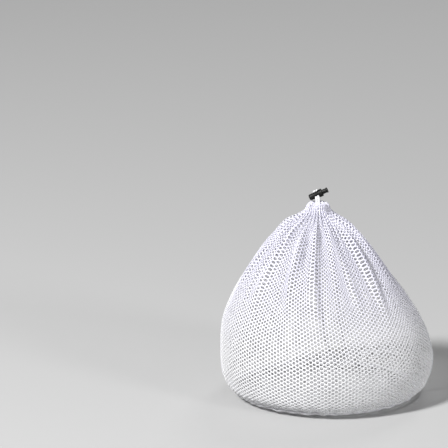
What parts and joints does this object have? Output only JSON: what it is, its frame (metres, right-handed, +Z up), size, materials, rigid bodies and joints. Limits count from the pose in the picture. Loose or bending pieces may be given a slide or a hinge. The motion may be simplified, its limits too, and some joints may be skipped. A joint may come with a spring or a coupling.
{
  "type": "mesh laundry bag",
  "caption": "Free-standing net laundry bag with a round base, drawn shut at the top by a drawstring and a sprung barrel cord lock.",
  "frame": {"origin": "middle of the round base, on the surface that the bag stands on", "axes": "+Z up, -Y is the front, +X is the viewer's right; the cord lock's closed end points left"},
  "size_m": [0.2425, 0.2788, 0.244],
  "materials": {
    "net": "soft white polyester warp-knit net, hexagonal holes",
    "thread": "white polyester overlock thread",
    "cord": "white braided polyester cord",
    "lock_plastic": "black moulded plastic, fine satin grain",
    "spring_wire": "drawn steel wire"
  },
  "bodies": {
    "bag": {"front_mesh_panel": "net", "back_mesh_panel": "net", "base_mesh_panel": "net", "side_seam_left": "thread", "side_seam_right": "thread", "base_seam": "thread", "casing_front": "net", "casing_back": "net", "hem_stitching": "thread", "drawstring": "cord"},
    "cord_tails": {"drawstring_tail_left": "cord", "drawstring_tail_right": "cord", "drawstring_knot": "cord"},
    "lock_barrel": {"cord_lock_barrel": "lock_plastic", "cord_lock_spring": "spring_wire"},
    "lock_plunger": {"cord_lock_plunger": "lock_plastic"}
  },
  "joints": [
    {"name": "lock_slide", "type": "slide", "parent": "bag", "child": "cord_tails", "axis": [-0.1984, 0.8829, 0.4255], "range_m": [0, 0.008]},
    {"name": "lock_swivel", "type": "hinge", "parent": "cord_tails", "child": "lock_barrel", "pos_m": [-0.012, 0, 0.2355], "axis": [-0.1984, 0.8829, 0.4255], "range_deg": [-15, 15]},
    {"name": "plunger_press", "type": "slide", "parent": "lock_barrel", "child": "lock_plunger", "axis": [-0.9063, 0, -0.4226], "range_m": [0, 0.0025], "stiffness_N_per_m": 900, "springref_m": -0.002, "deforming": ["cord_lock_spring"]}
  ]
}
